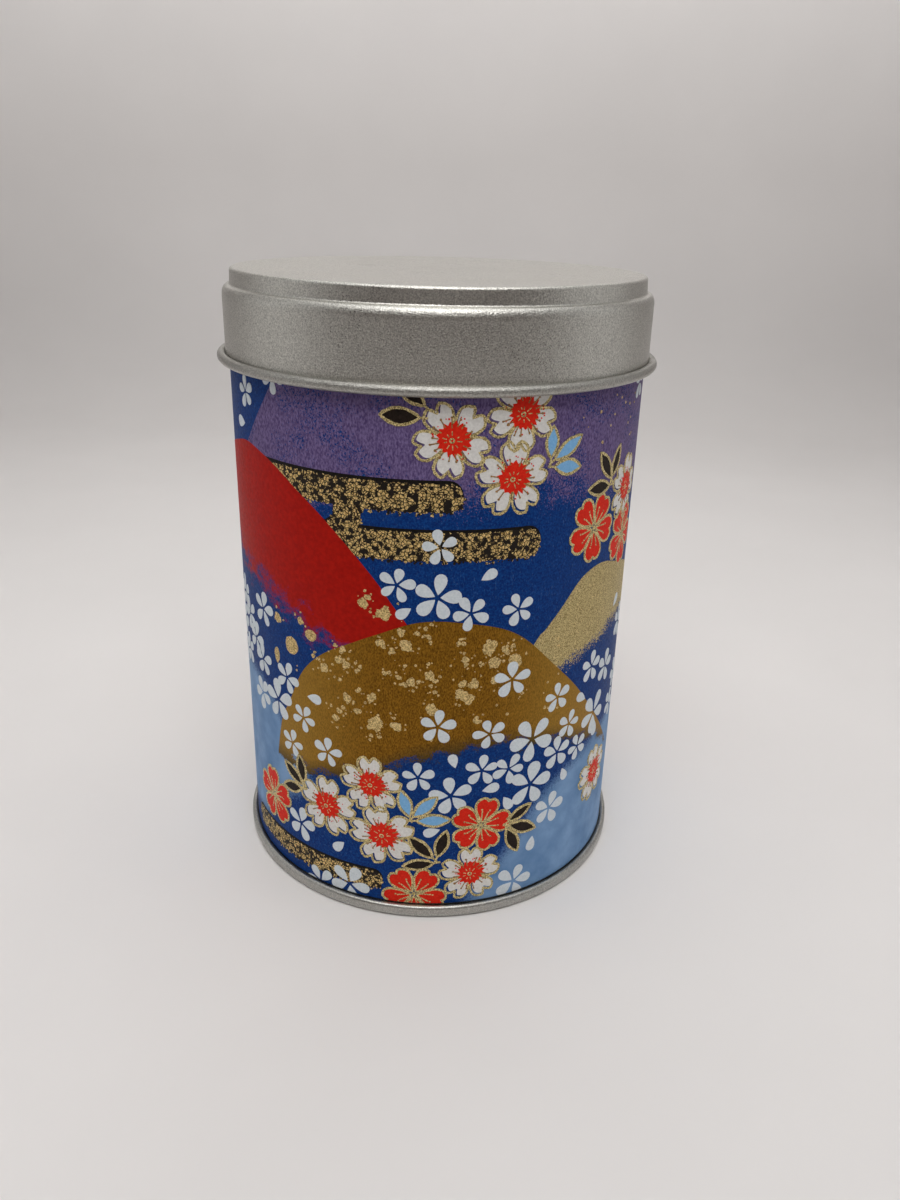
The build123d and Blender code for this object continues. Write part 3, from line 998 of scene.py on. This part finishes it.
def rounded(corners, bends):
    """Path through the corners, each bent to its radius, with extra points where it runs straight."""
    steps = 8
    path = [corners[0]]
    for before, corner, after, bend in zip(corners, corners[1:], corners[2:], bends):
        corner = Vector(corner)
        back, on = (Vector(before) - corner).normalized(), (Vector(after) - corner).normalized()
        opening = back.angle(on)
        run = bend / tan(opening / 2)
        centre = corner + (back + on).normalized() * bend / sin(opening / 2)
        first, last = corner + back * run - centre, corner + on * run - centre
        path += [tuple(centre + bend * first.slerp(last, i / steps)) for i in range(steps + 1)]
    path.append(corners[-1])
    result = path[:1]
    for here, there in zip(path, path[1:]):
        if dist(here, there) > 1.0:
            along = (Vector(there) - Vector(here)).normalized() * 0.2
            result += [tuple(Vector(here) + along), tuple(Vector(there) - along)]
        result.append(there)
    return result


def lid_profile():
    """Section of the outer lid in mm, from the axis under its top round to the axis on top."""
    low, high = (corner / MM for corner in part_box("outer_lid"))
    top, shoulder = high.z, high.z - SHOULDER_DEPTH
    wall, crown = high.x - 2 * BEAD_RADIUS + LID_GAUGE, high.x - CROWN_INSET
    middle = (high.x - BEAD_RADIUS, low.z + BEAD_RADIUS)
    corners = [(0, top), (crown - CROWN_LEAN, top), (crown, shoulder), (wall, shoulder)]
    outer = rounded(corners + [(wall, middle[1])], BENDS_OUTSIDE)
    under = [(max(0, radius - LID_GAUGE), z - LID_GAUGE) for radius, z in corners]
    inner = rounded(under + [(wall - LID_GAUGE, middle[1])], BENDS_INSIDE)
    before = [middle[1], shoulder - SHOULDER_BEND, shoulder, top]
    after = [middle[1], shoulder - SHOULDER_DROP, shoulder, top]
    outer = [(radius, float(np.interp(z, before, after))) for radius, z in outer]
    roll = [radians(180 + BEAD_SWEEP * i / 30) for i in range(31)]
    around = [polar(middle, BEAD_RADIUS, t) for t in roll]
    within = [polar(middle, BEAD_RADIUS - LID_GAUGE, t) for t in reversed(roll)]
    bead_start = len(inner) - 1
    return inner[:-1] + around + within[:-1] + outer[::-1], (bead_start, bead_start + len(around) - 1)


def make_outer_lid():
    """The outer lid as one clean turned sheet, its rolled edge rougher than the rest and painted darker as
    painted shade.
    """
    profile, (bead_start, bead_end) = lid_profile()
    profile = profile[:-1]
    turns = [tau * k / LID_SEGMENTS for k in range(LID_SEGMENTS)]
    verts = [(0, 0, profile[0][1] * MM)]
    for radius, z in profile[1:]:
        verts += [(radius * cos(t) * MM, radius * sin(t) * MM, z * MM) for t in turns]
    verts.append((0, 0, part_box("outer_lid")[1].z))
    last, rings = len(verts) - 1, len(profile) - 1
    faces, finish = [], []
    for k in range(LID_SEGMENTS):
        after = (k + 1) % LID_SEGMENTS
        faces += [(0, 1 + after, 1 + k),
                  (last, last - LID_SEGMENTS + k, last - LID_SEGMENTS + after)]
        finish += [0, 0]
        for ring in range(rings - 1):
            a, b = 1 + ring * LID_SEGMENTS, 1 + (ring + 1) * LID_SEGMENTS
            faces.append((a + k, a + after, b + after, b + k))
            finish.append(1 if bead_start <= ring + 1 < bead_end else 0)
    sheet = tinplate("satin_tinplate", srgb(202, 200, 193), 0.32, 0.66)
    # The rolled edge is the same tin as the sheet. It is rougher, and its colour is painted darker:
    # painted shade that dims its highlight.
    edge = tinplate("rolled_tinplate_painted_shade", srgb(176, 174, 168), 0.38, 0.9)
    lid = new_object("outer_lid_sheet", verts, faces, [sheet, edge], finish, 50)
    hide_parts("outer_lid")
    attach(lid, "outer_lid_body")


def finish_tin():
    """Gives the parts that stay as they were designed their finishes."""
    finishes = [
        (tinplate("plain_tinplate", srgb(204, 203, 200), 0.3, 0.3, 0.35), ["body_tube"]),
        # The foot is the same tin as the tube, its colour painted darker: painted shade that makes the rim
        # darker than the tube.
        (tinplate("shaded_foot_tinplate", srgb(182, 181, 176), 0.36, 0.5, 0.1), ["bottom_end"]),
        (tinplate("bright_tinplate", srgb(212, 210, 206), 0.26, 0.3, 0.15), ["inner_lid"]),
        (tinplate("polished_tinplate", srgb(214, 212, 208), 0.2, 0.15, 0.1), ["inner_lid_knob"]),
        (tinplate("rivet_aluminium", srgb(200, 202, 205), 0.34, 0.3), ["knob_washer", "knob_rivet"]),
        (sealing_compound(), ["bottom_seal"]),
    ]
    for material, nodes in finishes:
        for node in nodes:
            for material_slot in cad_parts[node].material_slots:
                material_slot.material = material


# ---- Studio ----

# In metres.
FLOOR_HALF_WIDTH = 3.0
FLOOR_FRONT = -3.0
BEND_START = 0.37  # where the floor starts to curve up into the backdrop
BEND_RADIUS = 0.15
BACKDROP_TOP = 1.6

ROOM_IN_FRONT = (0.088, 0.066, 0.058, 1)
ROOM_BEHIND = (0.26, 0.26, 0.26, 1)

# The camera, in millimetres and radians: a little above the lid, looking down on the tin.
CAMERA_PLACE = (0.0, -185.73, 128.90)
CAMERA_PAN = 0.0192
CAMERA_TILT = 0.4011
CAMERA_ROLL = 0.0261
LENS = 28.449
SENSOR_WIDTH = 36.0


def make_studio():
    """Pale floor that curves up into a plain backdrop behind the tin."""
    bend = [pi / 2 * i / 32 for i in range(33)]
    profile = [(FLOOR_FRONT, 0.0), (-1.0, 0.0)]
    profile += [(BEND_START + BEND_RADIUS * sin(t), BEND_RADIUS * (1 - cos(t))) for t in bend]
    profile.append((BEND_START + BEND_RADIUS, BACKDROP_TOP))
    verts = [(x, y, z) for y, z in profile for x in (-FLOOR_HALF_WIDTH, FLOOR_HALF_WIDTH)]
    faces = [(2 * i, 2 * i + 1, 2 * i + 3, 2 * i + 2) for i in range(len(profile) - 1)]
    floor = new_object("studio_floor", verts, faces, [floor_material()])


def make_area_light(name, place_at, aim, width, height, power, spread):
    light = bpy.data.lights.new(name, "AREA")
    light.shape = "RECTANGLE"
    light.size = width
    light.size_y = height
    light.energy = power
    light.spread = radians(spread)
    lamp = bpy.data.objects.new(name, light)
    lamp.location = place_at
    lamp.rotation_euler = (Vector(aim) - Vector(place_at)).to_track_quat("-Z", "Y").to_euler()
    lamp.visible_camera = False
    bpy.context.scene.collection.objects.link(lamp)


def make_light():
    """Soft box overhead, pale walls at the sides and back, and a darker room in front."""
    make_area_light("top_light", (0.0, 0.08, 0.52), (0, 0.08, 0), 0.7, 0.6, 0.98, 150)
    make_area_light("front_light", (0.0, -0.35, 0.6), (0, 0, 0.04), 0.5, 0.3, 0.42, 75)
    make_area_light("back_light", (0.0, -0.1, 0.7), (0, 0.57, 0.44), 1.0, 0.1, 0.98, 56)
    make_area_light("upper_back_light", (0.0, 0.0, 1.1), (0, 0.57, 1.05), 1.0, 0.3, 0.95, 55)
    make_area_light("left_wall", (-0.55, 0.0, 0.25), (0, 0, 0.06), 0.5, 0.5, 0.36, 180)
    make_area_light("right_wall", (0.55, 0.0, 0.25), (0, 0, 0.06), 0.5, 0.5, 0.36, 180)
    world = bpy.data.worlds.new("soft_room")
    bpy.context.scene.world = world
    world.use_nodes = True
    nodes = Nodes(world.node_tree)
    away = nodes.add("SeparateXYZ", {"Vector": nodes.add("TexCoord")["Generated"]})["Y"]
    factor = nodes.remap(away, -0.9, 0.1, smooth=True)
    colour = nodes.mix(factor, ROOM_IN_FRONT, ROOM_BEHIND)
    nodes.feed(world.node_tree.nodes["Background"].inputs["Color"], colour)


def make_camera():
    pan, tilt, roll = CAMERA_PAN, CAMERA_TILT, CAMERA_ROLL
    ahead = Vector((sin(pan) * cos(tilt), cos(pan) * cos(tilt), -sin(tilt)))
    level = Vector((cos(pan), -sin(pan), 0.0))
    rise = level.cross(ahead)
    right = level * cos(roll) + rise * sin(roll)
    up = rise * cos(roll) - level * sin(roll)
    data = bpy.data.cameras.new("camera")
    data.lens = LENS
    data.sensor_width = SENSOR_WIDTH
    data.clip_start = 0.01
    camera = bpy.data.objects.new("camera", data)
    turn = Matrix((right, up, -ahead)).transposed().to_4x4()
    camera.matrix_world = Matrix.Translation(Vector(CAMERA_PLACE) * MM) @ turn
    bpy.context.scene.collection.objects.link(camera)
    bpy.context.scene.camera = camera


make_paper()
make_print()
make_outer_lid()
finish_tin()
make_studio()
make_light()
make_camera()
bpy.context.scene.view_settings.view_transform = "Standard"
